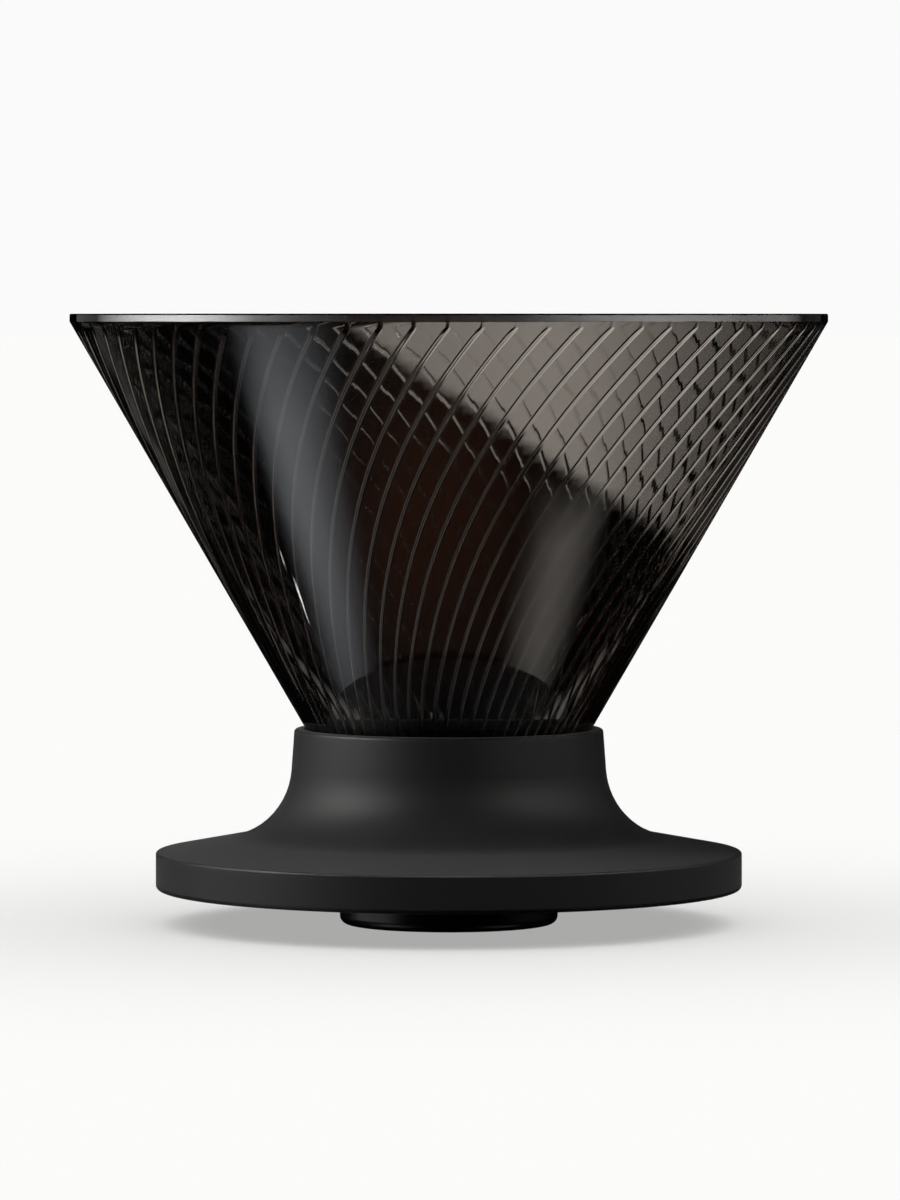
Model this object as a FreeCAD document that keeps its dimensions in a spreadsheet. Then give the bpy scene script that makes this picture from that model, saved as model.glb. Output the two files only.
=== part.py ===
"""Pour over dripper: a cone with spiral ribs that lifts out of a flanged base.

Frame: +Z up, origin on the axis at the foot of the base's spigot. Millimetres and degrees.
The cone stands in the base by its own weight. Two silicone rings in the base touch it: one in
the mouth of the neck, one round the spout. The base is a skirt pushed down over a core, which
is the cone's seat, the spigot that enters the server and the floor under the flange.
"""

import FreeCAD, Part
import math
import os

import Sketcher

DIMENSIONS = {
    # cone, rim band and spout
    "rim_radius": 58.0,
    "rim_height": 93.6,
    "rim_band": 1.2,
    "rim_edge": 0.25,
    "half_angle": 30.0,
    "cone_wall": 1.8,
    "spout_radius": 11.5,
    "spout_bore": 9.5,
    "spout_end": 1.5,
    "spout_edge": 0.4,
    # ribs inside the cone, each wider and taller towards the rim
    "rib_count": 72,
    "rib_low": 13.5,
    "rib_high": 92.0,
    "rib_width_low": 0.36,
    "rib_width_high": 0.95,
    "rib_rise_low": 0.3,
    "rib_rise_high": 0.7,
    "rib_crest_share": 0.45,
    "rib_root": 0.25,
    "rib_phase": 2.7,
    "twist_rate": 0.27,
    "twist_growth": 0.0034,
    "rib_sections": 9,
    # skirt of the base: neck, sweep and flange
    "neck_radius": 23.7,
    "neck_height": 30.0,
    "neck_draft": 4.2,
    "neck_edge": 0.5,
    "mouth_edge": 0.2,
    "lip_height": 25.6,
    "sweep_radius": 11.4,
    "skirt_wall": 2.2,
    "flange_radius": 45.0,
    "flange_height": 11.1,
    "flange_slope": 10.5,
    "flange_rim_wall": 2.4,
    "flange_edge": 0.4,
    "flange_foot": 5.4,
    "flange_foot_edge": 0.7,
    # core of the base: seat, spigot and floor
    "seat_gap": 0.2,
    "core_wall": 1.8,
    "hub_radius": 15.2,
    "spigot_radius": 16.75,
    "spigot_edge": 1.3,
    "spout_gap": 0.25,
    "drain_edge": 0.6,
    "floor_recess": 0.8,
    "floor_wall": 1.8,
    "fit_gap": 0.05,
    "ridge_count": 12,
    "ridge_width": 1.6,
    "ridge_inner": 22.0,
    "ridge_outer": 40.0,
    # silicone rings
    "seal_touch": 0.04,
    "neck_seal_low": 26.8,
    "neck_seal_rise": 1.8,
    "neck_seal_depth": 1.1,
    "ring_section": 1.8,
    "ring_height": 8.6,
}
CIRCLE_MATCH = 0.02  # how near an edge's radius and height come to the ones asked for
NEAR_ZERO = 1e-9  # a coordinate this small lies on the axis

# Expressions for faces that run parallel to the cone's outer face.
CONE_TAN = "tan(dims.half_angle * 1 deg)"
CONE_COS = "cos(dims.half_angle * 1 deg)"
BAND_FOOT = "(dims.rim_height - dims.rim_band)"


def cone_radius(height, out="0"):
    """Radius, at a height, of the face that lies `out` outside the cone's outer face."""
    return f"(dims.rim_radius - ({BAND_FOOT} - ({height})) * {CONE_TAN} + ({out}) / {CONE_COS})"


def cone_height(radius, out="0"):
    """Height at which that face has a radius."""
    return f"({BAND_FOOT} - (dims.rim_radius + ({out}) / {CONE_COS} - ({radius})) / {CONE_TAN})"


# Expressions for the skirt, whose neck leans out and whose flange slopes down.
NECK_TAN = "tan(dims.neck_draft * 1 deg)"
FLANGE_TAN = "tan(dims.flange_slope * 1 deg)"
NECK_IN = "(dims.neck_radius - dims.skirt_wall / cos(dims.neck_draft * 1 deg))"
FLANGE_UNDER = "(dims.flange_height - dims.skirt_wall / cos(dims.flange_slope * 1 deg))"
RIM_WALL_IN = "(dims.flange_radius - dims.flange_rim_wall)"


def sweep_corner(neck, flange):
    """Where the neck's line meets the flange's line, from the height and radius that each starts at."""
    height = (
        f"(({flange} + {FLANGE_TAN} * (dims.flange_radius - {neck} - {NECK_TAN} * dims.neck_height))"
        f" / (1 - {FLANGE_TAN} * {NECK_TAN}))"
    )
    return f"({neck} + {NECK_TAN} * (dims.neck_height - {height}))", height


SWEEP_OUT = sweep_corner("dims.neck_radius", "dims.flange_height")
SWEEP_IN = sweep_corner(NECK_IN, FLANGE_UNDER)

# Expressions for the core.
CORE_TOP = "(dims.lip_height - dims.fit_gap)"
DRAIN = "(dims.spout_radius + dims.spout_gap)"
FLOOR_LOW = "(dims.flange_foot + dims.floor_recess)"
FLOOR_TOP = f"({FLOOR_LOW} + dims.floor_wall)"
FLOOR_EDGE = f"({RIM_WALL_IN} - dims.fit_gap)"
RING_OUT = "(dims.spout_radius + dims.seal_touch + dims.ring_section)"
RING_HALF = "(dims.ring_section / 2)"

# Expressions for the groove in the lip that holds the neck's seal.
SEAL_TOP = "(dims.neck_seal_low + dims.neck_seal_rise)"
SEAL_BACK = f"({cone_radius(SEAL_TOP, 'dims.seat_gap')} + dims.neck_seal_depth)"


def make_sheet(doc):
    """The spreadsheet that drives every size, with one named cell for each dimension."""
    sheet = doc.addObject("Spreadsheet::Sheet", "dims")
    for row, (alias, value) in enumerate(DIMENSIONS.items(), start=1):
        sheet.set(f"A{row}", alias)
        sheet.set(f"B{row}", str(value))
        sheet.setAlias(f"B{row}", alias)
    doc.recompute()
    return sheet


def new_sketch(body, name, role="XZ_Plane"):
    sketch = body.newObject("Sketcher::SketchObject", name)
    plane = next(feature for feature in body.Origin.OriginFeatures if feature.Role == role)
    sketch.AttachmentSupport = (plane, [""])
    sketch.MapMode = "FlatFace"
    return sketch


def draw_outline(sketch, corners):
    """Closes a polygon through corners, each held by expressions: (word, across, up)."""
    points = [
        FreeCAD.Vector(float(sketch.evalExpression(across)), float(sketch.evalExpression(up)), 0)
        for _, across, up in corners
    ]
    count = len(corners)
    for i in range(count):
        sketch.addGeometry(Part.LineSegment(points[i], points[(i + 1) % count]))
    for i, (word, across, up) in enumerate(corners):
        sketch.addConstraint(Sketcher.Constraint("Coincident", (i - 1) % count, 2, i, 1))
        sides = (("DistanceX", points[i].x, across, -2), ("DistanceY", points[i].y, up, -1))
        for kind, value, expression, axis in sides:
            if abs(value) < NEAR_ZERO:
                sketch.addConstraint(Sketcher.Constraint("PointOnObject", i, 1, axis))
                continue
            index = sketch.addConstraint(Sketcher.Constraint(kind, -1, 1, i, 1, value))
            name = f"{word}_{kind[-1].lower()}"
            sketch.renameConstraint(index, name)
            sketch.setExpression(f"Constraints.{name}", expression)


def turned_body(doc, label, corners):
    """A body whose first feature is the outline turned a full circle about Z."""
    body = doc.addObject("PartDesign::Body", label)
    sketch = new_sketch(body, f"{label}_outline")
    draw_outline(sketch, corners)
    turn = body.newObject("PartDesign::Revolution", f"{label}_turn")
    turn.Profile = sketch
    turn.ReferenceAxis = (sketch, ["V_Axis"])
    turn.Angle = 360
    doc.recompute()
    return body


def circle_edge(shape, radius, height):
    """The name of the circular edge about Z with that radius at that height."""
    for number, edge in enumerate(shape.Edges, start=1):
        curve = edge.Curve
        if not isinstance(curve, Part.Circle):
            continue
        if abs(curve.Radius - radius) < CIRCLE_MATCH and abs(curve.Center.z - height) < CIRCLE_MATCH:
            return f"Edge{number}"
    raise ValueError(f"no circular edge of radius {radius:.3f} at height {height:.3f}")


def round_edge(body, name, size, radius, height):
    """Rounds the circular edge at (radius, height). All three are expressions."""
    base = body.Tip
    at_radius = float(base.evalExpression(radius))
    at_height = float(base.evalExpression(height))
    fillet = body.newObject("PartDesign::Fillet", name)
    fillet.Base = (base, [circle_edge(base.Shape, at_radius, at_height)])
    fillet.setExpression("Radius", size)
    body.Document.recompute()


def make_cone_wall(doc):
    """Cone shell with an upright band round the rim and a short spout at the foot."""
    rim_in = cone_radius("dims.rim_height", "-dims.cone_wall")
    body = turned_body(doc, "cone_wall", [
        ("rim_out", "dims.rim_radius", "dims.rim_height"),
        ("band_foot", "dims.rim_radius", BAND_FOOT),
        ("spout_top", "dims.spout_radius", cone_height("dims.spout_radius")),
        ("spout_tip", "dims.spout_radius", "dims.spout_end"),
        ("bore_tip", "dims.spout_bore", "dims.spout_end"),
        ("bore_top", "dims.spout_bore", cone_height("dims.spout_bore", "-dims.cone_wall")),
        ("rim_in", rim_in, "dims.rim_height"),
    ])
    round_edge(body, "rim_round", "dims.rim_edge", "dims.rim_radius", "dims.rim_height")
    round_edge(body, "rim_inner_round", "dims.rim_edge", rim_in, "dims.rim_height")
    round_edge(body, "band_round", "dims.rim_edge", "dims.rim_radius", BAND_FOOT)
    round_edge(body, "spout_round", "dims.spout_edge", "dims.spout_radius", "dims.spout_end")
    return body


def rib_point(dims, height):
    """A point of a rib's centre line, on the cone's inner face, and its turn about Z in radians."""
    lean = math.radians(dims.half_angle)
    band_foot = dims.rim_height - dims.rim_band
    radius = dims.rim_radius - (band_foot - height) * math.tan(lean) - dims.cone_wall / math.cos(lean)
    rise = height - dims.rib_low
    turn = math.radians(dims.rib_phase + dims.twist_rate * rise + dims.twist_growth * rise**2)
    return FreeCAD.Vector(radius * math.cos(turn), radius * math.sin(turn), height), turn


def rib_section(dims, height):
    """The rib's cross section: square to the wall and to the way that the rib runs."""
    share = (height - dims.rib_low) / (dims.rib_high - dims.rib_low)
    width = dims.rib_width_low + (dims.rib_width_high - dims.rib_width_low) * share
    rise = dims.rib_rise_low + (dims.rib_rise_high - dims.rib_rise_low) * share
    crest = width * dims.rib_crest_share
    here, turn = rib_point(dims, height)
    step = 0.05
    along = rib_point(dims, height + step)[0] - rib_point(dims, height - step)[0]
    lean = math.radians(dims.half_angle)
    outward = FreeCAD.Vector(math.cos(turn), math.sin(turn), 0)
    inward = outward * -math.cos(lean) + FreeCAD.Vector(0, 0, math.sin(lean))
    side = along.cross(inward).normalize()
    root = here - inward * dims.rib_root
    top = here + inward * rise
    corners = [
        root + side * (width / 2),
        top + side * (crest / 2),
        top - side * (crest / 2),
        root - side * (width / 2),
    ]
    return Part.makePolygon(corners + corners[:1])


def make_ribs(doc, dims):
    """All the ribs: one lofted through its sections, and its copies turned about Z."""
    count = int(dims.rib_count)
    steps = int(dims.rib_sections) - 1
    span = dims.rib_high - dims.rib_low
    sections = [rib_section(dims, dims.rib_low + span * i / steps) for i in range(steps + 1)]
    rib = Part.makeLoft(sections, True)
    copies = []
    for i in range(count):
        copy = rib.copy()
        copy.rotate(FreeCAD.Vector(), FreeCAD.Vector(0, 0, 1), 360.0 * i / count)
        copies.append(copy)
    ribs = doc.addObject("Part::Feature", "cone_ribs")
    ribs.Shape = Part.Compound(copies)
    return ribs


def make_cone(doc, dims):
    cone = doc.addObject("Part::Fuse", "dripper_cone")
    cone.Base = make_cone_wall(doc)
    cone.Tool = make_ribs(doc, dims)
    doc.recompute()
    return cone


def make_skirt(doc):
    """Outer shell of the base: neck, concave sweep and flange, open underneath."""
    groove_low = cone_radius("dims.neck_seal_low", "dims.seat_gap")
    groove_top = cone_radius(SEAL_TOP, "dims.seat_gap")
    mouth = cone_radius("dims.neck_height", "dims.seat_gap")
    rim_wall_top = f"({FLANGE_UNDER} + {FLANGE_TAN} * dims.flange_rim_wall)"
    body = turned_body(doc, "base_skirt", [
        ("neck_top", "dims.neck_radius", "dims.neck_height"),
        ("sweep", SWEEP_OUT[0], SWEEP_OUT[1]),
        ("flange_top", "dims.flange_radius", "dims.flange_height"),
        ("flange_foot", "dims.flange_radius", "dims.flange_foot"),
        ("rim_wall_foot", RIM_WALL_IN, "dims.flange_foot"),
        ("rim_wall_top", RIM_WALL_IN, rim_wall_top),
        ("sweep_in", SWEEP_IN[0], SWEEP_IN[1]),
        ("lip_out", f"({NECK_IN} + {NECK_TAN} * (dims.neck_height - dims.lip_height))", "dims.lip_height"),
        ("lip_in", cone_radius("dims.lip_height", "dims.seat_gap"), "dims.lip_height"),
        ("groove_low", groove_low, "dims.neck_seal_low"),
        ("groove_back_low", SEAL_BACK, "dims.neck_seal_low"),
        ("groove_back_top", SEAL_BACK, SEAL_TOP),
        ("groove_top", groove_top, SEAL_TOP),
        ("mouth", mouth, "dims.neck_height"),
    ])
    round_edge(body, "sweep_round", "dims.sweep_radius", *SWEEP_OUT)
    round_edge(body, "sweep_in_round", "dims.sweep_radius + dims.skirt_wall", *SWEEP_IN)
    round_edge(body, "neck_round", "dims.neck_edge", "dims.neck_radius", "dims.neck_height")
    round_edge(body, "mouth_round", "dims.mouth_edge", mouth, "dims.neck_height")
    round_edge(body, "flange_round", "dims.flange_edge", "dims.flange_radius", "dims.flange_height")
    round_edge(body, "foot_round", "dims.flange_foot_edge", "dims.flange_radius", "dims.flange_foot")
    return body


def make_core(doc):
    """Seat, spigot and floor in one moulding, with vent ridges under the floor."""
    seat = "dims.seat_gap"
    seat_back = "dims.seat_gap + dims.core_wall"
    slot_top = f"(dims.ring_height + {RING_HALF} + dims.fit_gap)"
    slot_low = f"(dims.ring_height - {RING_HALF} - dims.fit_gap)"
    slot_back = f"({RING_OUT} + dims.fit_gap)"
    body = turned_body(doc, "base_core", [
        ("seat_top", cone_radius(CORE_TOP, seat), CORE_TOP),
        ("seat_foot", DRAIN, cone_height(DRAIN, seat)),
        ("slot_top", DRAIN, slot_top),
        ("slot_back_top", slot_back, slot_top),
        ("slot_back_low", slot_back, slot_low),
        ("slot_low", DRAIN, slot_low),
        ("drain_foot", DRAIN, "0"),
        ("spigot_foot", "dims.spigot_radius", "0"),
        ("spigot_top", "dims.spigot_radius", FLOOR_LOW),
        ("floor_edge_low", FLOOR_EDGE, FLOOR_LOW),
        ("floor_edge_top", FLOOR_EDGE, FLOOR_TOP),
        ("hub_foot", "dims.hub_radius", FLOOR_TOP),
        ("hub_top", "dims.hub_radius", cone_height("dims.hub_radius", seat_back)),
        ("seat_back_top", cone_radius(CORE_TOP, seat_back), CORE_TOP),
    ])
    round_edge(body, "spigot_round", "dims.spigot_edge", "dims.spigot_radius", "0")
    round_edge(body, "drain_round", "dims.drain_edge", DRAIN, "0")

    sketch = new_sketch(body, "ridge_outline", "XY_Plane")
    sketch.setExpression("AttachmentOffset.Base.z", FLOOR_LOW)
    draw_outline(sketch, [
        ("inner_right", "dims.ridge_inner", "-dims.ridge_width / 2"),
        ("outer_right", "dims.ridge_outer", "-dims.ridge_width / 2"),
        ("outer_left", "dims.ridge_outer", "dims.ridge_width / 2"),
        ("inner_left", "dims.ridge_inner", "dims.ridge_width / 2"),
    ])
    ridge = body.newObject("PartDesign::Pad", "ridge")
    ridge.Profile = sketch
    ridge.Reversed = True
    ridge.setExpression("Length", "dims.floor_recess")
    doc.recompute()
    ring = body.newObject("PartDesign::PolarPattern", "ridge_ring")
    ring.Originals = [ridge]
    ring.Axis = (sketch, ["N_Axis"])
    ring.Angle = 360
    ring.setExpression("Occurrences", "dims.ridge_count")
    body.Tip = ring
    doc.recompute()
    return body


def make_neck_seal(doc):
    """Silicone ring in the lip's groove, with its inner face along the cone."""
    low = "(dims.neck_seal_low + dims.fit_gap)"
    top = f"({SEAL_TOP} - dims.fit_gap)"
    back = f"({SEAL_BACK} - dims.fit_gap)"
    return turned_body(doc, "neck_seal", [
        ("face_low", cone_radius(low, "dims.seal_touch"), low),
        ("back_low", back, low),
        ("back_top", back, top),
        ("face_top", cone_radius(top, "dims.seal_touch"), top),
    ])


def make_spout_seal(doc):
    """Round silicone ring in the core's slot, about the cone's spout."""
    ring = doc.addObject("Part::Torus", "spout_seal")
    ring.setExpression("Radius1", f"dims.spout_radius + dims.seal_touch + {RING_HALF}")
    ring.setExpression("Radius2", RING_HALF)
    ring.setExpression("Placement.Base.z", "dims.ring_height")
    doc.recompute()
    return ring


def check(doc, parts):
    """Stops if an object failed to build, or if a sub-part isn't one sound solid."""
    for item in doc.Objects:
        if "Invalid" in item.State or "Error" in item.State:
            raise RuntimeError(f"{item.Label} did not build: {item.State}")
    for part in parts:
        shape = part.Shape
        if shape.isNull() or not shape.isValid() or len(shape.Solids) != 1:
            raise RuntimeError(f"{part.Label} is not one sound solid")
        print(f"{part.Label}: {shape.Volume:.1f} mm3, z {shape.BoundBox.ZMin:.2f} to {shape.BoundBox.ZMax:.2f}")


def main():
    doc = FreeCAD.newDocument("pour_over_dripper")
    dims = make_sheet(doc)
    parts = [
        make_cone(doc, dims),
        make_skirt(doc),
        make_core(doc),
        make_neck_seal(doc),
        make_spout_seal(doc),
    ]
    doc.recompute()
    check(doc, parts)
    os.makedirs("parts", exist_ok=True)
    for part in parts:
        part.Shape.exportStep(f"parts/{part.Label}.step")


main()
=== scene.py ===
"""Pour over dripper in a small studio: a smoke-tinted cone with spiral ribs in a matt black base."""

import math

import bpy
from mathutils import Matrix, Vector


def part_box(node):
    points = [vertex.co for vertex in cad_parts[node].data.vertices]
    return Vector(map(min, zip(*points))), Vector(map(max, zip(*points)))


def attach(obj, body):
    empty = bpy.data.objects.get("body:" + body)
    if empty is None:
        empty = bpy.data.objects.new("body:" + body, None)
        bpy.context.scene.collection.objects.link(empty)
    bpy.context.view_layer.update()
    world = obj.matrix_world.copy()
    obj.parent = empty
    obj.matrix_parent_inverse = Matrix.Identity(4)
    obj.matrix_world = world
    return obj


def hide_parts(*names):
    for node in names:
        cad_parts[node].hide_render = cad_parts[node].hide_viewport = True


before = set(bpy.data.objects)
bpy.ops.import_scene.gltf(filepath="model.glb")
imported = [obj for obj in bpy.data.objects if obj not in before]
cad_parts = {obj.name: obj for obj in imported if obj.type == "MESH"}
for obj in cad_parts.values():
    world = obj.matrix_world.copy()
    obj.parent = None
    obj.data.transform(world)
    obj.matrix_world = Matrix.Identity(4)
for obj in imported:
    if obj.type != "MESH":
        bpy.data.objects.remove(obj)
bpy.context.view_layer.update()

MM = 0.001
MATH = "ShaderNodeMath"

# ---------------------------------------------------------------- sizes, in millimetres and degrees
# The cone's outer sizes come from the frame. The others are the part's own, but for the ribs' width
# and rise, which are slimmer here, and their rounded crest.
CONE_LOW, CONE_HIGH = (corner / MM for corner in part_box("dripper_cone"))
RIM_RADIUS = CONE_HIGH.x
RIM_HEIGHT = CONE_HIGH.z
SPOUT_END = CONE_LOW.z
HALF_ANGLE = 30.0  # between the axis and the wall
CONE_WALL = 1.8
RIM_BAND = 1.2
SOFT_EDGE = 0.25
SPOUT_RADIUS = 11.5
SPOUT_BORE = 9.5

RIB_COUNT = 72
RIB_COLUMNS = 7  # columns of the mesh across a rib
PITCH_COLUMNS = 12  # and across a rib with the panel beside it
PANEL_CROWD = 0.158  # share of a panel by which its columns move to the ribs' feet
RIB_LOW = 13.5
RIB_HIGH = 92.0
RIB_FADE = 0.8  # height over which a rib runs out at each end
RIB_WIDTH = (0.4, 0.8)  # at the outlet and at the rim
RIB_RISE = (0.25, 0.4)
RIB_PHASE = 2.7  # where the first rib starts
TWIST_RATE = 0.27  # degrees per mm of height at the outlet
TWIST_GROWTH = 0.0034  # and how fast that grows upward
ROW_STEP = 1.35  # height of a row of the mesh on the ribs
OUTER_STEPS = 10  # rows down the outer face

LEAN = math.radians(HALF_ANGLE)
BAND_FOOT = RIM_HEIGHT - RIM_BAND

WORN_EDGES = ((45.0, 11.1), (45.0, 5.4), (23.7, 30.0))  # radius and height: flange's two, neck's one
WEAR_REACH = 1.1

# ---------------------------------------------------------------- the studio's sizes, in millimetres
EYE = (0.18, -1000.0, 93.1)  # the camera's place
LENS = 195.7
TIP_DOWN = 2.484  # degrees

LOW_LEVEL = -150  # height of the strips and sheets below the floor

# A pale card that curls round behind the cone, and stops below at a slanting edge.
CARD_GAP = 7.0
CARD_LOW = 20.0
CARD_HIGH = 150.0
CARD_SPAN = 100.0  # degrees to each side of straight back
CARD_FADE = 40.0  # degrees over which its ends go dark
CARD_ROWS = 100
CARD_COLUMNS = 90
CARD_SOFT = 3.0  # height over which the edge fades in
CARD_COLOUR = "#fff8f0"
CARD_SHARE = 0.68  # overall brightness
# Height of the edge, and the brightness above it, at each distance to the right.
CARD_EDGE = ((-62, 112.5), (-25, 96), (-13, 88), (-3, 81), (8, 75), (16, 69), (40, 55.5), (62, 44))
CARD_LEVEL = ((-63, 0.7), (-5, 1.1), (16, 1.4), (23, 1.35), (37, 0.85), (50, 0.5), (63, 0.2))
WARM_COLOUR = "#ff8a50"  # the weak warm glow on the dark part below the card's edge
WARM_LEVEL = 0.042
WARM_MIDDLE = (-3, 62)
WARM_SIZE = (26, 34)

# A strip round the front that the rim mirrors: (degrees to the right, brightness).
BAND_REACH = 150.0
BAND_HEIGHTS = ((72, 0.0), (80, 1.0), (112, 1.0), (125, 0.0))
BAND_STEP = 2.0
BAND_STEPS = 66
BAND_LIGHT = (
    (-112, 0.2), (-100, 2.7), (-82, 8.8), (-70, 11.2), (-60, 9.0), (-48, 3.0), (-37, 1.1), (-22, 0.2),
    (-2, 0.25), (17, 0.65), (33, 2.4), (49, 4.0), (68, 3.1), (82, 1.6), (101, 1.1), (113, 0.05),
)

# Strips that the wall mirrors, by stations: middle (x, y), step across, spread to each side, brightness.
LEFT_STREAK = (
    ((-240, -108), (0.72, -0.69), (75, 120), 0.6),
    ((-229, -94), (0.72, -0.69), (75, 125), 1.2),
    ((-222, -74), (0.70, -0.71), (80, 130), 1.85),
    ((-207, -56), (0.67, -0.74), (85, 115), 1.75),
    ((-185, -43), (0.65, -0.76), (95, 100), 1.2),
    ((-180, -25), (0.63, -0.78), (105, 95), 0.75),
    ((-165, -10), (0.63, -0.78), (90, 80), 0.0),
)
RIGHT_STREAK = (
    ((178, -98), (0.80, 0.60), (80, 100), 0.0),
    ((170, -84), (0.80, 0.60), (80, 100), 1.1),
    ((156, -66), (0.76, 0.65), (90, 100), 1.0),
    ((150, -52), (0.74, 0.67), (90, 100), 0.5),
    ((132, -40), (0.72, 0.69), (60, 60), 0.0),
)
# Small lights beside the left strip: middle (x, y), size and brightness.
GLINTS = (((-238, 26), 7.0, 18.0), ((-254.5, 32.5), 3.0, 12.0))
GLINT_LEVEL = -149
GLINT_STEP = (0.62, 0.79)
GLINT_ACROSS = (0.76, -0.65)
GLINT_SHAPE = ((-1, 0), (-0.5, 0.8), (0, 1), (0.5, 0.8), (1, 0))  # place along it, share of the brightness
# What the ribs catch from below, which draws them as thin light lines: brightness across and along.
LOW_COOL = "#dbe6f2"  # on the left
LOW_WARM = "#ffeedd"  # in the middle
LOW_BLEND = (-220, 160)  # where the one starts to turn into the other, and how long that takes
LOW_STEPS = 24
LOW_GLOW = {
    "low_glow_left": (
        ((-420, 0.0), (-360, 0.4), (-100, 0.37), (60, 0.27), (200, 0.13), (260, 0.0)),
        ((-420, 0.0), (-330, 1.0), (-60, 1.0), (20, 0.0)),
    ),
    "low_glow_right": (
        ((400, 0.0), (460, 0.5), (840, 0.5), (900, 0.0)),
        ((-900, 0.0), (-800, 1.0), (800, 1.0), (900, 0.0)),
    ),
}
# A weak ring just over the floor: (radius, brightness).
TABLE_RINGS = ((260.0, 0.0), (300.0, 0.4), (350.0, 0.4), (400.0, 0.0))
TABLE_HEIGHT = 0.5
TABLE_STEPS = 48

# Brightness of the soft lamps on the cone and on the base, and where the side ones stand, in metres.
LEFT_ON_CONE = 2.5
RIGHT_ON_CONE = 2.0
LEFT_ON_BASE = 1.1
RIGHT_ON_BASE = 0.35
TOP_ON_BASE = 11.0
LEFT_LAMP = {"place": (-0.85, -0.05, 0.16), "target": (0, 0, 0.06), "width": 0.9, "height": 0.5}
RIGHT_LAMP = {"place": (0.85, 0.05, 0.2), "target": (0, 0, 0.06), "width": 0.8, "height": 0.4}
TOP_LAMP = {"place": (0, -0.25, 0.9), "target": (0, 0, 0.02), "width": 0.3, "height": 0.3}

FLOOR_REACH = 30.0  # metres


# ---------------------------------------------------------------- nodes
def add(tree, kind, inputs=None, **settings):
    """Adds a node with its settings, and sets or links each input by its name or number.

    A node given as an input stands for its first output.
    """
    node = tree.nodes.new(kind)
    for word, value in settings.items():
        setattr(node, word, value)
    for key, value in (inputs or {}).items():
        if isinstance(value, bpy.types.Node):
            value = value.outputs[0]
        if isinstance(value, bpy.types.NodeSocket):
            tree.links.new(value, node.inputs[key])
        else:
            node.inputs[key].default_value = value
    return node


def linear(colour):
    """A colour from sRGB hex to linear RGBA."""
    parts = [int(colour[i : i + 2], 16) / 255 for i in (1, 3, 5)]
    return (*(p / 12.92 if p <= 0.04045 else ((p + 0.055) / 1.055) ** 2.4 for p in parts), 1.0)


# ---------------------------------------------------------------- profile of the cone
def inner_radius(height):
    """Radius of the cone's inner face."""
    return RIM_RADIUS - (BAND_FOOT - height) * math.tan(LEAN) - CONE_WALL / math.cos(LEAN)


def outer_radius(height):
    """Radius of the cone's outer face."""
    return RIM_RADIUS - (BAND_FOOT - height) * math.tan(LEAN)


def turn_at(height):
    """How far a rib has turned about the axis at a height, in radians."""
    rise = height - RIB_LOW
    return math.radians(RIB_PHASE + TWIST_RATE * rise + TWIST_GROWTH * rise * rise)


def rounded(points, radius, steps=4):
    """The polyline with each corner that has a radius rounded: points are (r, z, is_round)."""
    out = []
    count = len(points)
    for i, (x, z, soft) in enumerate(points):
        here = Vector((x, z))
        if not soft or i in (0, count - 1):
            out.append(here)
            continue
        back = (Vector(points[i - 1][:2]) - here).normalized()
        ahead = (Vector(points[i + 1][:2]) - here).normalized()
        half = back.angle(ahead) / 2
        reach = radius / math.tan(half)
        centre = here + (back + ahead).normalized() * (radius / math.sin(half))
        start = here + back * reach - centre
        end = here + ahead * reach - centre
        for k in range(steps + 1):
            share = k / steps
            out.append(centre + start.lerp(end, share).normalized() * radius)
    return out


def cone_rows():
    """Rows of the cone's section, from the spout's tip up the inside and down the outside."""
    tip = (SPOUT_RADIUS + SPOUT_BORE) / 2
    bore_top = BAND_FOOT - (RIM_RADIUS - CONE_WALL / math.cos(LEAN) - SPOUT_BORE) / math.tan(LEAN)
    spout_top = BAND_FOOT - (RIM_RADIUS - SPOUT_RADIUS) / math.tan(LEAN)
    steps = round((RIB_HIGH - RIB_LOW) / ROW_STEP)
    heights = [RIB_LOW + (RIB_HIGH - RIB_LOW) * i / steps for i in range(steps + 1)]
    heights = sorted(heights + [RIB_LOW + RIB_FADE / 2, RIB_HIGH - RIB_FADE / 2])
    inside = [(tip, SPOUT_END, False), (SPOUT_BORE, SPOUT_END, True), (SPOUT_BORE, bore_top, False)]
    inside += [(inner_radius(z), z, False) for z in heights]
    top_in = (inner_radius(RIM_HEIGHT), RIM_HEIGHT, True)
    outside = [(RIM_RADIUS, RIM_HEIGHT, True), (RIM_RADIUS, BAND_FOOT, True)]
    for i in range(OUTER_STEPS + 1):
        z = BAND_FOOT - 1.0 + (spout_top - BAND_FOOT + 1.0) * i / OUTER_STEPS
        outside.append((outer_radius(z), z, False))
    outside += [(SPOUT_RADIUS, SPOUT_END, True), (tip, SPOUT_END, False)]
    return rounded(inside + [top_in] + outside, SOFT_EDGE)


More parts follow.
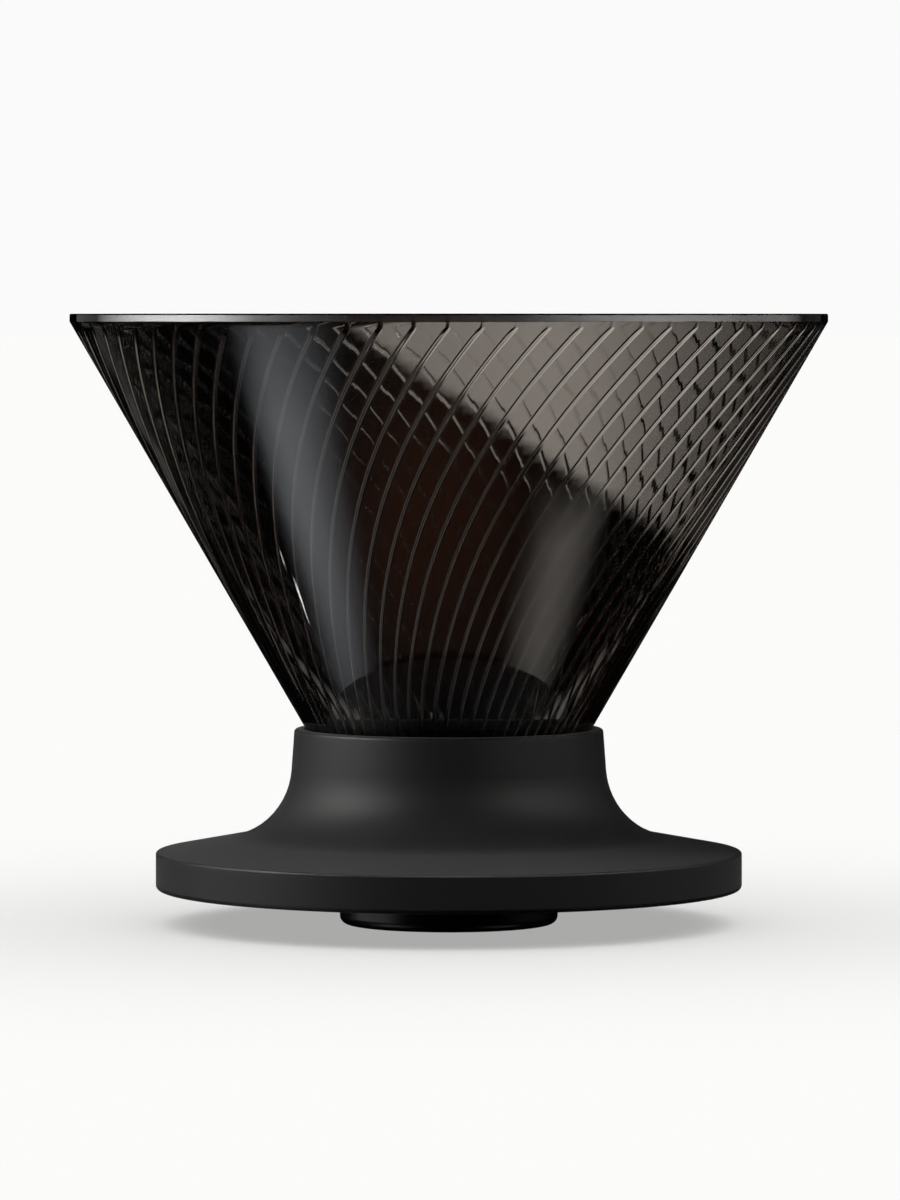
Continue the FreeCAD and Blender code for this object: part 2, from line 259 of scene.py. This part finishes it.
def ribbed_profile():
    """The cone's section as a line of points, each with the ribs' turn, width and height there."""
    rows = cone_rows()
    peak = max(range(len(rows)), key=lambda i: rows[i].y)  # inside up to here, outside after it
    low_turn, high_turn = turn_at(RIB_LOW), turn_at(RIB_HIGH)
    # Outside, the columns run nearly straight down, back to the same ring of points as inside.
    pitch = math.tau / RIB_COUNT
    end_turn = low_turn + round((high_turn - low_turn) / pitch) * pitch
    table = []
    for i, row in enumerate(rows):
        z = min(max(row.y, RIB_LOW), RIB_HIGH)
        share = (z - RIB_LOW) / (RIB_HIGH - RIB_LOW)
        radius = inner_radius(z)
        if i <= peak:
            turn = turn_at(z)
            live = min(1.0, (row.y - RIB_LOW) / RIB_FADE, (RIB_HIGH - row.y) / RIB_FADE)
            live = max(0.0, live)
        else:
            turn = high_turn + (end_turn - high_turn) * (1 - share)
            live = 0.0
        rate = math.radians(TWIST_RATE + 2 * TWIST_GROWTH * (z - RIB_LOW))
        spread = math.hypot(1, radius * rate * math.cos(LEAN))
        width = RIB_WIDTH[0] + (RIB_WIDTH[1] - RIB_WIDTH[0]) * share
        half = min(width * spread / 2 / radius, pitch * 0.4)
        rise = (RIB_RISE[0] + (RIB_RISE[1] - RIB_RISE[0]) * share) * live
        table.append({"at": row, "turn": turn, "half": half, "rise": rise * MM})
    return table


def profile_object(name, table):
    """A mesh of points only, one for each row, that carries the row's numbers as attributes."""
    mesh = bpy.data.meshes.new(name)
    mesh.from_pydata([(row["at"].x * MM, 0, row["at"].y * MM) for row in table], [], [])
    for word in ("turn", "half", "rise"):
        values = mesh.attributes.new(word, "FLOAT", "POINT")
        for i, row in enumerate(table):
            values.data[i].value = row[word]
    return bpy.data.objects.new(name, mesh)


def ribbed_turning():
    """Node tree that turns a section about Z and raises the ribs on it by their rule."""
    tree = bpy.data.node_groups.new("ribbed_turning", "GeometryNodeTree")
    tree.is_modifier = True
    face = tree.interface
    face.new_socket(name="Section", in_out="INPUT", socket_type="NodeSocketGeometry")
    counts = {"Ribs": RIB_COUNT, "Columns per Rib": PITCH_COLUMNS, "Columns on Rib": RIB_COLUMNS}
    for word, value in counts.items():
        face.new_socket(name=word, in_out="INPUT", socket_type="NodeSocketInt").default_value = value
    face.new_socket(name="Wall Lean", in_out="INPUT", socket_type="NodeSocketFloat").default_value = LEAN
    face.new_socket(name="Material", in_out="INPUT", socket_type="NodeSocketMaterial")
    face.new_socket(name="Piece", in_out="OUTPUT", socket_type="NodeSocketGeometry")
    given = add(tree, "NodeGroupInput").outputs

    size = add(tree, "GeometryNodeAttributeDomainSize", {0: given["Section"]}, component="MESH")
    rows = size.outputs["Point Count"]
    columns = add(tree, MATH, {0: given["Ribs"], 1: given["Columns per Rib"]}, operation="MULTIPLY")
    last_row = add(tree, MATH, {0: rows, 1: 1.0}, operation="SUBTRACT")
    points_across = add(tree, MATH, {0: columns, 1: 1.0}, operation="ADD")
    sheet = add(tree, "GeometryNodeMeshGrid", {
        "Size X": columns,
        "Size Y": last_row,
        "Vertices X": points_across,
        "Vertices Y": rows,
    })
    place = add(tree, "ShaderNodeSeparateXYZ", {0: add(tree, "GeometryNodeInputPosition")})
    from_left = add(tree, MATH, {0: columns, 1: 0.5, 2: place.outputs["X"]}, operation="MULTIPLY_ADD")
    column = add(tree, MATH, {0: from_left}, operation="ROUND")
    from_start = add(tree, MATH, {0: last_row, 1: 0.5, 2: place.outputs["Y"]}, operation="MULTIPLY_ADD")
    row = add(tree, MATH, {0: from_start}, operation="ROUND")

    # What the section says at a point's row: its place there, and the ribs' turn, width and height.
    fields = {"at": ("FLOAT_VECTOR", add(tree, "GeometryNodeInputPosition"))}
    for word in ("turn", "half", "rise"):
        named = add(tree, "GeometryNodeInputNamedAttribute", {"Name": word}, data_type="FLOAT")
        fields[word] = ("FLOAT", named)
    there = {}
    for word, (kind, field) in fields.items():
        sample = add(tree, "GeometryNodeSampleIndex", data_type=kind, domain="POINT")
        value = next(s for s in sample.inputs if s.name == "Value" and s.enabled)
        tree.links.new(given["Section"], sample.inputs["Geometry"])
        tree.links.new(next(s for s in field.outputs if s.enabled), value)
        tree.links.new(row.outputs[0], sample.inputs["Index"])
        there[word] = next(s for s in sample.outputs if s.enabled)
    point = add(tree, "ShaderNodeSeparateXYZ", {0: there["at"]})
    turn, half, rise = there["turn"], there["half"], there["rise"]
    pitch = add(tree, MATH, {0: math.tau, 1: given["Ribs"]}, operation="DIVIDE")

    # Where the column lies: q runs 0 to 1 over a pitch, and the rib takes its first part.
    within = add(tree, MATH, {0: column, 1: given["Columns per Rib"]}, operation="DIVIDE")
    nudged = add(tree, MATH, {0: within, 1: 1e-4}, operation="ADD")
    rib = add(tree, MATH, {0: nudged}, operation="FLOOR")
    q = add(tree, MATH, {0: within, 1: rib}, operation="SUBTRACT")
    q_rib = add(tree, MATH, {0: given["Columns on Rib"], 1: given["Columns per Rib"]}, operation="DIVIDE")
    rib_share = add(tree, MATH, {0: q, 1: q_rib}, operation="DIVIDE")
    on_rib = add(tree, MATH, {0: rib_share, 1: 1.0}, operation="MINIMUM")
    past_rib = add(tree, MATH, {0: q, 1: q_rib}, operation="SUBTRACT")
    q_panel = add(tree, MATH, {0: 1.0, 1: q_rib}, operation="SUBTRACT")
    panel_share = add(tree, MATH, {0: past_rib, 1: q_panel}, operation="DIVIDE")
    even = add(tree, MATH, {0: panel_share, 1: 0.0}, operation="MAXIMUM")
    # The panel's own columns crowd to the ribs' feet, so that its middle shades flat and shows through.
    even_turn = add(tree, MATH, {0: even, 1: math.tau}, operation="MULTIPLY")
    crowding = add(tree, MATH, {0: even_turn}, operation="SINE")
    on_panel = add(tree, MATH, {0: crowding, 1: -PANEL_CROWD, 2: even}, operation="MULTIPLY_ADD")
    side = add(tree, MATH, {0: on_rib, 1: 2.0, 2: -1.0}, operation="MULTIPLY_ADD")
    across = add(tree, MATH, {0: side, 1: half}, operation="MULTIPLY")
    panel = add(tree, MATH, {0: half, 1: -2.0, 2: pitch}, operation="MULTIPLY_ADD")
    rib_angle = add(tree, MATH, {0: rib, 1: pitch, 2: turn}, operation="MULTIPLY_ADD")
    from_rib = add(tree, MATH, {0: on_panel, 1: panel, 2: across}, operation="MULTIPLY_ADD")
    angle = add(tree, MATH, {0: rib_angle, 1: from_rib}, operation="ADD")

    # A rib's section is one wave of a cosine, and a panel follows the wall.
    rib_turn = add(tree, MATH, {0: on_rib, 1: math.tau}, operation="MULTIPLY")
    wave = add(tree, MATH, {0: rib_turn}, operation="COSINE")
    crest = add(tree, MATH, {0: wave, 1: -0.5, 2: 0.5}, operation="MULTIPLY_ADD")
    lift = add(tree, MATH, {0: crest, 1: rise}, operation="MULTIPLY")
    inward = add(tree, MATH, {0: given["Wall Lean"]}, operation="COSINE")
    upward = add(tree, MATH, {0: given["Wall Lean"]}, operation="SINE")
    lift_in = add(tree, MATH, {0: lift, 1: inward}, operation="MULTIPLY")
    radius = add(tree, MATH, {0: point.outputs["X"], 1: lift_in}, operation="SUBTRACT")
    height = add(tree, MATH, {0: lift, 1: upward, 2: point.outputs["Z"]}, operation="MULTIPLY_ADD")
    cosine = add(tree, MATH, {0: angle}, operation="COSINE")
    sine = add(tree, MATH, {0: angle}, operation="SINE")
    position = add(tree, "ShaderNodeCombineXYZ", {
        "X": add(tree, MATH, {0: radius, 1: cosine}, operation="MULTIPLY"),
        "Y": add(tree, MATH, {0: radius, 1: sine}, operation="MULTIPLY"),
        "Z": height,
    })
    turned = add(tree, "GeometryNodeSetPosition", {
        "Geometry": sheet.outputs["Mesh"],
        "Position": position.outputs[0],
    })
    outward = add(tree, "GeometryNodeFlipFaces", {"Mesh": turned.outputs[0]})
    closed = add(tree, "GeometryNodeMergeByDistance", {"Geometry": outward.outputs[0], "Distance": 2e-6})
    smooth = add(tree, "GeometryNodeSetShadeSmooth", {"Geometry": closed.outputs[0]})
    plain = add(tree, "GeometryNodeRealizeInstances", {"Geometry": smooth.outputs[0]})
    finished = add(tree, "GeometryNodeSetMaterial", {
        "Geometry": plain.outputs[0],
        "Material": given["Material"],
    })
    add(tree, "NodeGroupOutput", {"Piece": finished.outputs[0]})
    return tree


def made_with_nodes(name, profile, tree, inputs):
    """Runs the tree on the profile and keeps the result as a plain mesh."""
    bpy.context.scene.collection.objects.link(profile)
    modifier = profile.modifiers.new("shape", "NODES")
    modifier.node_group = tree
    for item in tree.interface.items_tree:
        if item.in_out == "INPUT" and item.name in inputs:
            modifier[item.identifier] = inputs[item.name]
    ready = profile.evaluated_get(bpy.context.evaluated_depsgraph_get())
    mesh = bpy.data.meshes.new_from_object(ready)
    bpy.data.objects.remove(profile)
    mesh.name = name
    piece = bpy.data.objects.new(name, mesh)
    bpy.context.scene.collection.objects.link(piece)
    return piece


# ---------------------------------------------------------------- materials
def new_material(name):
    """An empty material and its node tree."""
    material = bpy.data.materials.new(name)
    material.use_nodes = True
    material.node_tree.nodes.clear()
    return material, material.node_tree


def clear_smoke_copolyester():
    """Injection-moulded copolyester from a polished tool: clear, glossy, and brown where it is deep."""
    material, tree = new_material("clear_smoke_copolyester")
    place = add(tree, "ShaderNodeTexCoord").outputs["Object"]
    haze = add(tree, "ShaderNodeTexNoise", {"Vector": place, "Scale": 1 / (9 * MM), "Detail": 3.0})
    polish = add(tree, "ShaderNodeMapRange", {
        "Value": haze.outputs[0], "To Min": 0.01, "To Max": 0.03,
    })
    # Fine wipe marks, long across and thin upward, a little duller than the polish round them.
    stretched = add(tree, "ShaderNodeMapping", {"Vector": place, "Scale": (1.0, 1.0, 14.0)})
    wipes = add(tree, "ShaderNodeTexNoise", {
        "Vector": stretched.outputs[0], "Scale": 1 / (7 * MM), "Detail": 6.0, "Roughness": 0.7,
    })
    marks = add(tree, "ShaderNodeMapRange", {
        "Value": wipes.outputs[0], "From Min": 0.62, "From Max": 0.75, "To Min": 0.0, "To Max": 0.05,
    })
    dull = add(tree, MATH, {0: polish.outputs[0], 1: marks.outputs[0]}, operation="ADD")
    resin = add(tree, "ShaderNodeBsdfPrincipled", {
        "Base Color": (1, 1, 1, 1),
        "Roughness": dull.outputs[0],
        "IOR": 1.57,
        "Transmission Weight": 1.0,
    })
    smoke = add(tree, "ShaderNodeVolumeAbsorption", {"Color": linear("#706458"), "Density": 430.0})
    add(tree, "ShaderNodeOutputMaterial", {"Surface": resin.outputs[0], "Volume": smoke.outputs[0]})
    return material


def near_ring(tree, place, radius, height, reach):
    """1 on a ring about the axis, and down to 0 at a reach from it: sizes in mm."""
    x, y, z = add(tree, "ShaderNodeSeparateXYZ", {0: place}).outputs
    y_squared = add(tree, MATH, {0: y, 1: 2.0}, operation="POWER")
    axis_squared = add(tree, MATH, {0: x, 1: x, 2: y_squared}, operation="MULTIPLY_ADD")
    from_axis = add(tree, MATH, {0: axis_squared}, operation="SQRT")
    aside = add(tree, MATH, {0: from_axis, 1: radius * MM}, operation="SUBTRACT")
    above = add(tree, MATH, {0: z, 1: height * MM}, operation="SUBTRACT")
    above_squared = add(tree, MATH, {0: above, 1: 2.0}, operation="POWER")
    away_squared = add(tree, MATH, {0: aside, 1: aside, 2: above_squared}, operation="MULTIPLY_ADD")
    away = add(tree, MATH, {0: away_squared}, operation="SQRT")
    return add(tree, "ShaderNodeMapRange", {
        "Value": away, "From Min": 0.0, "From Max": reach * MM, "To Min": 1.0, "To Max": 0.0,
    }, interpolation_type="SMOOTHSTEP").outputs[0]


def matt_black_abs():
    """Black ABS moulded in a spark-eroded tool: an even fine grain that scatters highlights wide."""
    material, tree = new_material("matt_black_abs")
    place = add(tree, "ShaderNodeTexCoord").outputs["Object"]
    grain = add(tree, "ShaderNodeTexNoise", {"Vector": place, "Scale": 1 / (0.35 * MM), "Detail": 2.0})
    cloud = add(tree, "ShaderNodeTexNoise", {"Vector": place, "Scale": 1 / (14 * MM), "Detail": 2.0})
    tone = add(tree, "ShaderNodeMix", {
        "Factor": cloud.outputs[0], 6: linear("#2c2c2d"), 7: linear("#303031"),
    }, data_type="RGBA")
    dull = add(tree, "ShaderNodeMapRange", {"Value": cloud.outputs[0], "To Min": 0.5, "To Max": 0.6})
    bump = add(tree, "ShaderNodeBump", {"Height": grain.outputs[0], "Strength": 0.25, "Distance": 0.02 * MM})
    # Hands and cloths polish the outer edges: lighter and smoother there, in patches.
    patches = add(tree, "ShaderNodeTexNoise", {"Vector": place, "Scale": 1 / (5 * MM), "Detail": 4.0})
    worn = 0.0
    for radius, height in WORN_EDGES:
        ring = near_ring(tree, place, radius, height, WEAR_REACH)
        worn = add(tree, MATH, {0: ring, 1: worn}, operation="MAXIMUM").outputs[0]
    worn = add(tree, MATH, {0: worn, 1: patches.outputs[0]}, operation="MULTIPLY").outputs[0]
    tone = add(tree, "ShaderNodeMix", {
        "Factor": worn, 6: tone.outputs[2], 7: linear("#3c3c3d"),
    }, data_type="RGBA")
    dull = add(tree, MATH, {0: worn, 1: -0.2, 2: dull.outputs[0]}, operation="MULTIPLY_ADD")
    plastic = add(tree, "ShaderNodeBsdfPrincipled", {
        "Base Color": tone.outputs[2],
        "Roughness": dull.outputs[0],
        "IOR": 1.52,
        "Sheen Weight": 0.45,
        "Sheen Roughness": 0.4,
        "Normal": bump.outputs[0],
    })
    add(tree, "ShaderNodeOutputMaterial", {"Surface": plastic.outputs[0]})
    return material


def satin_black_abs():
    """The core's ABS, from a smoother tool than the skirt's, with a darker base colour."""
    material, tree = new_material("satin_black_abs")
    place = add(tree, "ShaderNodeTexCoord").outputs["Object"]
    grain = add(tree, "ShaderNodeTexNoise", {"Vector": place, "Scale": 1 / (0.5 * MM), "Detail": 2.0})
    dull = add(tree, "ShaderNodeMapRange", {"Value": grain.outputs[0], "To Min": 0.28, "To Max": 0.36})
    plastic = add(tree, "ShaderNodeBsdfPrincipled", {
        "Base Color": linear("#0c0c0c"), "Roughness": dull.outputs[0], "IOR": 1.52,
    })
    add(tree, "ShaderNodeOutputMaterial", {"Surface": plastic.outputs[0]})
    return material


def black_silicone():
    """Moulded silicone rubber: soft black with a dusty sheen."""
    material, tree = new_material("black_silicone")
    place = add(tree, "ShaderNodeTexCoord").outputs["Object"]
    dust = add(tree, "ShaderNodeTexNoise", {"Vector": place, "Scale": 1 / (1.2 * MM), "Detail": 3.0})
    tone = add(tree, "ShaderNodeMix", {
        "Factor": dust.outputs[0], 6: linear("#141414"), 7: linear("#1c1c1d"),
    }, data_type="RGBA")
    rubber = add(tree, "ShaderNodeBsdfPrincipled", {
        "Base Color": tone.outputs[2], "Roughness": 0.7, "IOR": 1.41, "Sheen Weight": 0.15,
    })
    add(tree, "ShaderNodeOutputMaterial", {"Surface": rubber.outputs[0]})
    return material


# ---------------------------------------------------------------- pieces
def make_cone():
    """The ribbed resin cone, in place of the CAD node."""
    tree = ribbed_turning()
    piece = made_with_nodes("dripper_cone_ribbed", profile_object("cone_section", ribbed_profile()), tree, {
        "Material": clear_smoke_copolyester(),
    })
    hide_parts("dripper_cone")
    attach(piece, "cone")
    return piece


def dress(node, material):
    """Gives a CAD node its finish."""
    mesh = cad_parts[node].data
    mesh.materials.clear()
    mesh.materials.append(material)


# ---------------------------------------------------------------- studio
def light_sheet(name, rows, colour, glossy=True, transmission=True, one_way=False):
    """A sheet of light that only mirrored rays, or rays through the resin, can see.

    Each row is a list of (place in mm, brightness), and the brightness runs smoothly between them.
    A brightness is one number, which the sheet's colour multiplies, or a whole linear colour.
    A one-way sheet has linear colours, is clear from behind, and has no cloth where it is dark.
    """
    width = len(rows[0])
    corners = [[k * MM for k in place] for row in rows for place, _ in row]
    faces = [
        (i + k * width, i + 1 + k * width, i + 1 + (k + 1) * width, i + (k + 1) * width)
        for k in range(len(rows) - 1)
        for i in range(width - 1)
    ]
    levels = [level for row in rows for _, level in row]
    if one_way:
        faces = [face for face in faces if max(sum(levels[i]) for i in face) > 1e-3]
    mesh = bpy.data.meshes.new(name)
    mesh.from_pydata(corners, [], faces)
    glow = mesh.attributes.new("glow", "FLOAT_COLOR", "POINT")
    tint = Vector(linear(colour)[:3])
    for i, level in enumerate(levels):
        glow.data[i].color = (*(level if isinstance(level, Vector) else tint * level), 1.0)
    material, tree = new_material(name)
    shade = add(tree, "ShaderNodeAttribute", attribute_name="glow").outputs["Color"]
    light = add(tree, "ShaderNodeEmission", {"Color": shade, "Strength": 1.0})
    if one_way:
        behind_it = add(tree, "ShaderNodeNewGeometry").outputs["Backfacing"]
        clear = add(tree, "ShaderNodeBsdfTransparent")
        light = add(tree, "ShaderNodeMixShader", {0: behind_it, 1: light.outputs[0], 2: clear.outputs[0]})
    add(tree, "ShaderNodeOutputMaterial", {"Surface": light.outputs[0]})
    material.cycles.emission_sampling = "NONE"
    mesh.materials.append(material)
    sheet = bpy.data.objects.new(name, mesh)
    bpy.context.scene.collection.objects.link(sheet)
    sheet.visible_camera = False
    sheet.visible_diffuse = False
    sheet.visible_shadow = False
    sheet.visible_glossy = glossy
    sheet.visible_transmission = transmission


def ease(share):
    """Runs from 0 to 1 with soft ends, and stays there beyond them."""
    share = min(max(share, 0.0), 1.0)
    return share * share * (3 - 2 * share)


def along(table, x):
    """Reads a table of (x, y) at x, straight between its points."""
    for (x0, y0), (x1, y1) in zip(table, table[1:]):
        if x <= x1:
            break
    return y0 + (y1 - y0) * min(max((x - x0) / (x1 - x0), 0.0), 1.0)


def streak_light(name, stations, colour, low=LOW_LEVEL):
    """A soft strip of light below the object for the cone's outer face to mirror.

    Each station is its middle in mm, the unit step across, its spread to each side and its brightness.
    """
    half = 8
    shares = [k / half for k in range(-half, half + 1)]
    rows = []
    for middle, across, spreads, level in stations:
        row = []
        for share in shares:
            reach = share * (spreads[0] if share < 0 else spreads[1])
            place = (middle[0] + across[0] * reach, middle[1] + across[1] * reach, low)
            row.append((place, level * ease(1 - abs(share))))
        rows.append(row)
    light_sheet(name, rows, colour, transmission=False)


def behind(height, angle, gap):
    """A place behind the cone, a gap outside its face: the angle runs from straight back to the right."""
    radius = outer_radius(height) + gap / math.cos(LEAN)
    return (radius * math.sin(angle), radius * math.cos(angle), height)


def card_rows():
    """Rows of the card behind the cone: pale above its slanting edge, with a weak warm glow below."""
    pale, warm = (Vector(linear(colour)[:3]) for colour in (CARD_COLOUR, WARM_COLOUR))
    rows = []
    for k in range(CARD_ROWS + 1):
        height = CARD_LOW + (CARD_HIGH - CARD_LOW) * k / CARD_ROWS
        row = []
        for i in range(-CARD_COLUMNS, CARD_COLUMNS + 1):
            turn = CARD_SPAN * i / CARD_COLUMNS
            place = behind(height, math.radians(turn), CARD_GAP)
            x, z = place[0], place[2]
            lit = ease((z - along(CARD_EDGE, x)) / CARD_SOFT)
            level = CARD_SHARE * lit * along(CARD_LEVEL, x) * ease((CARD_SPAN - abs(turn)) / CARD_FADE)
            aside = math.hypot((x - WARM_MIDDLE[0]) / WARM_SIZE[0], (z - WARM_MIDDLE[1]) / WARM_SIZE[1])
            row.append((place, pale * level + warm * WARM_LEVEL * ease(1 - aside) * (1 - lit)))
        rows.append(row)
    return rows


def band_light():
    """A low strip round the front that the rim's narrow edge mirrors, brightest at the sides."""
    rows = []
    for height, share in BAND_HEIGHTS:
        row = []
        for k in range(-BAND_STEPS, BAND_STEPS + 1):
            angle = BAND_STEP * k
            level = share * along(BAND_LIGHT, angle)
            turn = math.radians(angle)
            row.append(((BAND_REACH * math.sin(turn), -BAND_REACH * math.cos(turn), height), level))
        rows.append(row)
    light_sheet("band_light", rows, "#fffdfa", transmission=False)


def softbox(name, place, target, width, height, radiance, lit):
    """A rectangular soft light of a given brightness that faces a target and lights only some objects."""
    light = bpy.data.lights.new(name, "AREA")
    light.shape = "RECTANGLE"
    light.size = width
    light.size_y = height
    light.energy = radiance * math.pi * width * height
    lamp = bpy.data.objects.new(name, light)
    lamp.location = place
    lamp.rotation_euler = (Vector(target) - Vector(place)).to_track_quat("-Z", "Y").to_euler()
    lamp.visible_camera = False
    bpy.context.scene.collection.objects.link(lamp)
    link_light(lamp, lit)


def link_light(lamp, receivers):
    """The lamp lights only these objects."""
    group = bpy.data.collections.new(f"{lamp.name}_lights")
    for item in receivers:
        group.objects.link(item)
    lamp.light_linking.receiver_collection = group


def table_glow():
    """What the resin shows of the pale table round the object, where rays bend down to it."""
    turns = [math.tau * k / TABLE_STEPS for k in range(TABLE_STEPS + 1)]
    rows = []
    for radius, level in TABLE_RINGS:
        rows.append([((radius * math.cos(t), radius * math.sin(t), TABLE_HEIGHT), level) for t in turns])
    light_sheet("table_glow", rows, "#ffffff", glossy=False)


def low_glow(name, level_across, level_along):
    """A weak sheet low beside the object, which the ribs bend rays down to."""
    cool, warm = (Vector(linear(colour)[:3]) for colour in (LOW_COOL, LOW_WARM))
    rows = []
    for k in range(LOW_STEPS + 1):
        y = level_along[0][0] + (level_along[-1][0] - level_along[0][0]) * k / LOW_STEPS
        row = []
        for i in range(LOW_STEPS + 1):
            x = level_across[0][0] + (level_across[-1][0] - level_across[0][0]) * i / LOW_STEPS
            tint = cool.lerp(warm, ease((x - LOW_BLEND[0]) / LOW_BLEND[1]))
            row.append(((x, y, LOW_LEVEL), tint * along(level_across, x) * along(level_along, y)))
        rows.append(row)
    light_sheet(name, rows, LOW_WARM, glossy=False)


def make_floor():
    """Plain pale floor. No surface mirrors it or shows it, and it throws no light back."""
    corners = [(FLOOR_REACH * x, FLOOR_REACH * y, 0) for x, y in ((-1, -1), (1, -1), (1, 1), (-1, 1))]
    mesh = bpy.data.meshes.new("floor")
    mesh.from_pydata(corners, [], [(0, 1, 2, 3)])
    material, tree = new_material("pale_paper_floor")
    place = add(tree, "ShaderNodeTexCoord").outputs["Object"]
    tooth = add(tree, "ShaderNodeTexNoise", {"Vector": place, "Scale": 1 / (2.5 * MM), "Detail": 2.0})
    tone = add(tree, "ShaderNodeMix", {
        "Factor": tooth.outputs[0], 6: linear("#f0f0ef"), 7: linear("#f2f2f1"),
    }, data_type="RGBA")
    paper = add(tree, "ShaderNodeBsdfDiffuse", {"Color": tone.outputs[2]})
    add(tree, "ShaderNodeOutputMaterial", {"Surface": paper.outputs[0]})
    mesh.materials.append(material)
    floor = bpy.data.objects.new("floor", mesh)
    bpy.context.scene.collection.objects.link(floor)
    floor.visible_glossy = False
    floor.visible_transmission = False
    floor.visible_diffuse = False
    floor.visible_shadow = False
    return floor


def make_world():
    """Pale behind the object, dark for what its surfaces mirror and let through."""
    world = bpy.data.worlds.new("studio")
    world.use_nodes = True
    tree = world.node_tree
    tree.nodes.clear()
    seen = add(tree, "ShaderNodeLightPath").outputs["Is Camera Ray"]
    pale = add(tree, "ShaderNodeBackground", {"Color": linear("#fafafa"), "Strength": 1.0})
    dark = add(tree, "ShaderNodeBackground", {"Color": linear("#ffffff"), "Strength": 0.002})
    both = add(tree, "ShaderNodeMixShader", {0: seen, 1: dark.outputs[0], 2: pale.outputs[0]})
    add(tree, "ShaderNodeOutputWorld", {"Surface": both.outputs[0]})
    bpy.context.scene.world = world


def make_camera():
    """Long lens, a metre away at the rim's height, tipped down a little."""
    data = bpy.data.cameras.new("camera")
    data.sensor_width = 36.0
    data.lens = LENS
    data.clip_start = 0.05
    data.clip_end = 100.0
    camera = bpy.data.objects.new("camera", data)
    camera.location = [k * MM for k in EYE]
    camera.rotation_euler = (math.pi / 2 - math.radians(TIP_DOWN), 0, 0)
    bpy.context.scene.collection.objects.link(camera)
    bpy.context.scene.camera = camera


def sun_over(name, energy, width, lit, shadow=True):
    """A wide soft sun straight above."""
    sun = bpy.data.objects.new(name, bpy.data.lights.new(name, "SUN"))
    sun.data.use_shadow = shadow
    sun.data.energy = energy
    sun.data.angle = math.radians(width)
    bpy.context.scene.collection.objects.link(sun)
    link_light(sun, lit)


make_camera()
cone = make_cone()
dress("base_skirt", matt_black_abs())
dress("base_core", satin_black_abs())
rubber = black_silicone()
dress("neck_seal", rubber)
dress("spout_seal", rubber)

floor = make_floor()
make_world()
sun_over("floor_fill", 2.75, 120, [floor], shadow=False)
sun_over("floor_sky", 0.7, 120, [floor])

base = [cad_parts[name] for name in ("base_skirt", "base_core", "neck_seal", "spout_seal")]
softbox("left_on_cone", **LEFT_LAMP, radiance=LEFT_ON_CONE, lit=[cone])
softbox("right_on_cone", **RIGHT_LAMP, radiance=RIGHT_ON_CONE, lit=[cone])
softbox("left_on_base", **LEFT_LAMP, radiance=LEFT_ON_BASE, lit=base)
softbox("right_on_base", **RIGHT_LAMP, radiance=RIGHT_ON_BASE, lit=base)
softbox("top_on_base", **TOP_LAMP, radiance=TOP_ON_BASE, lit=base)

light_sheet("card_behind", card_rows(), CARD_COLOUR, glossy=False, one_way=True)
band_light()
table_glow()
for name, (level_across, level_along) in LOW_GLOW.items():
    low_glow(name, level_across, level_along)
streak_light("left_streak", LEFT_STREAK, "#e9eef4")
streak_light("right_streak", RIGHT_STREAK, "#f6efe6")
for i, (middle, size, level) in enumerate(GLINTS):
    stations = []
    for k, share in GLINT_SHAPE:
        place = (middle[0] + GLINT_STEP[0] * size * k, middle[1] + GLINT_STEP[1] * size * k)
        stations.append((place, GLINT_ACROSS, (size / 2, size / 2), level * share))
    streak_light(f"glint_{i}", stations, "#ffffff", GLINT_LEVEL)

bpy.context.scene.view_settings.view_transform = "Standard"
